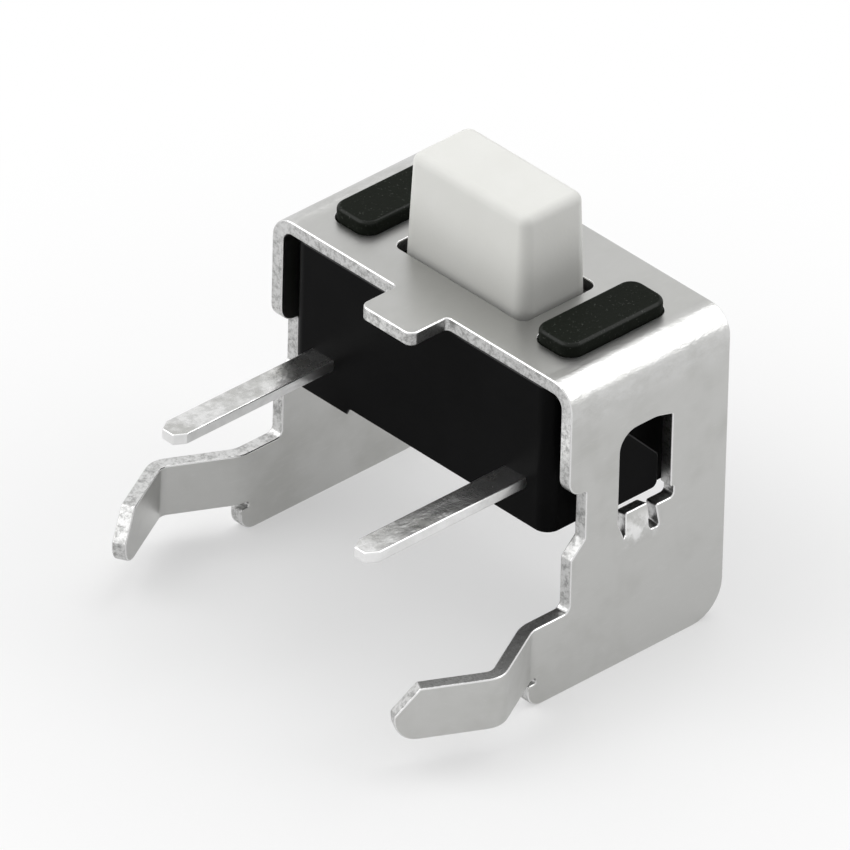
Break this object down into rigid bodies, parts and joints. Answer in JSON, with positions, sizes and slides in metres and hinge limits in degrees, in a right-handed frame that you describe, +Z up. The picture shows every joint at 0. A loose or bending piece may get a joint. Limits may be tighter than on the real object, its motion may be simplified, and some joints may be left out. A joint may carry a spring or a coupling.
{
  "type": "side tactile switch",
  "caption": "Side-push tactile switch with a folded steel bracket, snap-in kinked legs, black moulded housing and ivory rectangular plunger.",
  "frame": {"origin": "on the centre line, at the level of the bracket's lower edges, in the plane of the housing's front face", "axes": "+X across the switch to the right seen from the board, -Y towards the board along the legs and terminals, +Z up out of the plunger's pressing face"},
  "size_m": [0.0082, 0.0071, 0.0075],
  "materials": {
    "tinned_steel": "satin",
    "black_moulding": "semi-gloss",
    "ivory_moulding": "satin",
    "spring_steel": "satin",
    "plated_brass": "satin"
  },
  "bodies": {
    "switch_body": {"bracket": "tinned_steel", "housing": "black_moulding", "contact_dome": "spring_steel", "terminal_left": "plated_brass", "terminal_right": "plated_brass"},
    "button": {"plunger": "ivory_moulding"}
  },
  "joints": [
    {"name": "plunger_press", "type": "slide", "parent": "switch_body", "child": "button", "axis": [0, 0, -1], "range_m": [0, 0.00025], "stiffness_N_per_m": 6400, "deforming": ["contact_dome"]}
  ]
}
